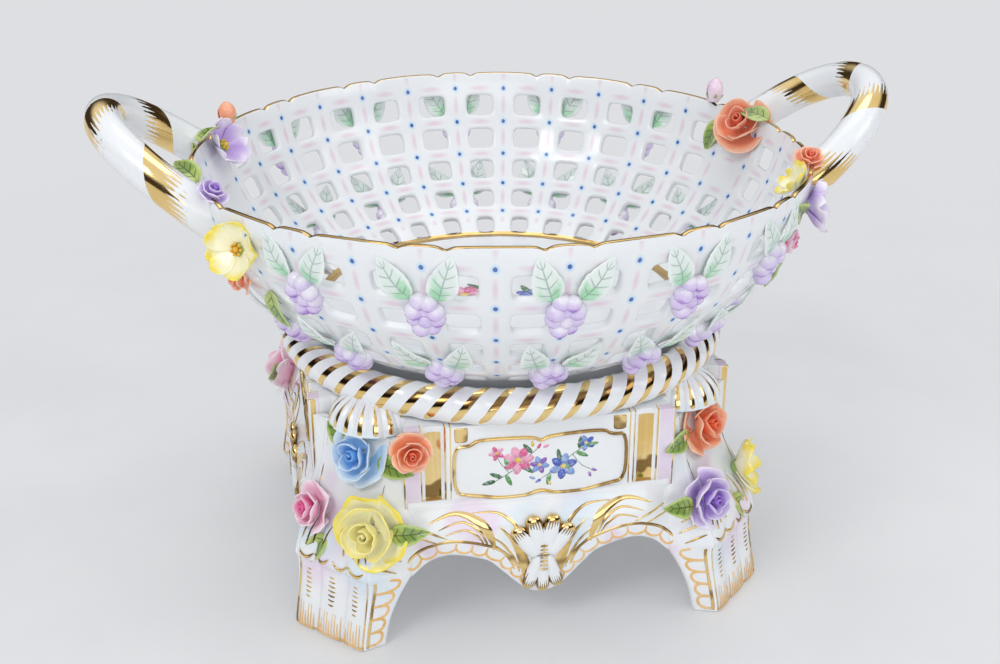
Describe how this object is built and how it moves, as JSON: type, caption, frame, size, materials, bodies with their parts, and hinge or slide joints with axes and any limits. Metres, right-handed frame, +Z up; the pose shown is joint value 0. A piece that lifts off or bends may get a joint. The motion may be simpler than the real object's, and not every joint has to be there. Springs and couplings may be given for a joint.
{
  "type": "reticulated porcelain basket on stand",
  "caption": "Round pierced porcelain bowl with twisted loop handles and applied flowers, resting on a footed stand with arched aprons, a rope ring and shell caps.",
  "frame": {"origin": "on the ground under the middle of the stand", "axes": "+Z up, handles along X, the front towards -Y"},
  "size_m": [0.369, 0.2866, 0.2254],
  "materials": {
    "white_porcelain": "glossy glazed white porcelain",
    "gilded_porcelain": "glossy white porcelain with burnished gold",
    "blue_petal": "glazed blue petals",
    "pink_petal": "glazed pink petals",
    "yellow_petal": "glazed yellow petals",
    "orange_petal": "glazed orange petals",
    "purple_petal": "glazed purple petals",
    "green_leaf": "glazed green leaves",
    "pale_leaf": "glazed pale green leaves",
    "lilac_grape": "glazed lilac grapes"
  },
  "bodies": {
    "stand": {"stand_drum": "white_porcelain", "rope_ring": "gilded_porcelain", "leg_front_left": "white_porcelain", "shell_cap_front_left": "gilded_porcelain", "leaves_leg_front_left": "green_leaf", "leg_front_right": "white_porcelain", "shell_cap_front_right": "gilded_porcelain", "leaves_leg_front_right": "green_leaf", "leg_back_right": "white_porcelain", "shell_cap_back_right": "gilded_porcelain", "leaves_leg_back_right": "green_leaf", "leg_back_left": "white_porcelain", "shell_cap_back_left": "gilded_porcelain", "leaves_leg_back_left": "green_leaf", "apron_front": "white_porcelain", "apron_shell_front": "gilded_porcelain", "panel_frame_front": "gilded_porcelain", "apron_right": "white_porcelain", "apron_shell_right": "gilded_porcelain", "panel_frame_right": "gilded_porcelain", "apron_back": "white_porcelain", "apron_shell_back": "gilded_porcelain", "panel_frame_back": "gilded_porcelain", "apron_left": "white_porcelain", "apron_shell_left": "gilded_porcelain", "panel_frame_left": "gilded_porcelain", "rose_blue_front_left": "blue_petal", "rose_yellow_front_left": "yellow_petal", "rose_pink_front_left": "pink_petal", "rosebud_orange_front_left": "orange_petal", "rose_orange_front_right": "orange_petal", "rose_purple_front_right": "purple_petal", "open_yellow_front_right": "yellow_petal", "rose_pink_back_right": "pink_petal", "rose_blue_back_right": "blue_petal", "open_yellow_back_right": "yellow_petal", "rose_yellow_back_left": "yellow_petal", "rose_pink_back_left": "pink_petal", "rose_blue_back_left": "blue_petal"},
    "basket": {"basket_bowl": "white_porcelain", "handle_left": "gilded_porcelain", "handle_right": "gilded_porcelain", "rose_orange_right": "orange_petal", "bud_pink_right": "pink_petal", "open_yellow_right": "yellow_petal", "rosebud_orange_right": "orange_petal", "open_purple_right": "purple_petal", "rose_pink_right": "pink_petal", "open_purple_left": "purple_petal", "bud_orange_left": "orange_petal", "rosebud_purple_left": "purple_petal", "open_yellow_left": "yellow_petal", "rose_orange_left": "orange_petal", "leaves_handle_left": "green_leaf", "leaves_handle_right": "green_leaf", "sprig_leaves_front": "pale_leaf", "sprig_leaves_back": "pale_leaf", "sprig_grapes_front": "lilac_grape", "sprig_grapes_back": "lilac_grape"}
  },
  "joints": [
    {"name": "basket_lift", "type": "slide", "parent": "stand", "child": "basket", "axis": [0, 0, 1], "range_m": [0, 0.06]}
  ]
}
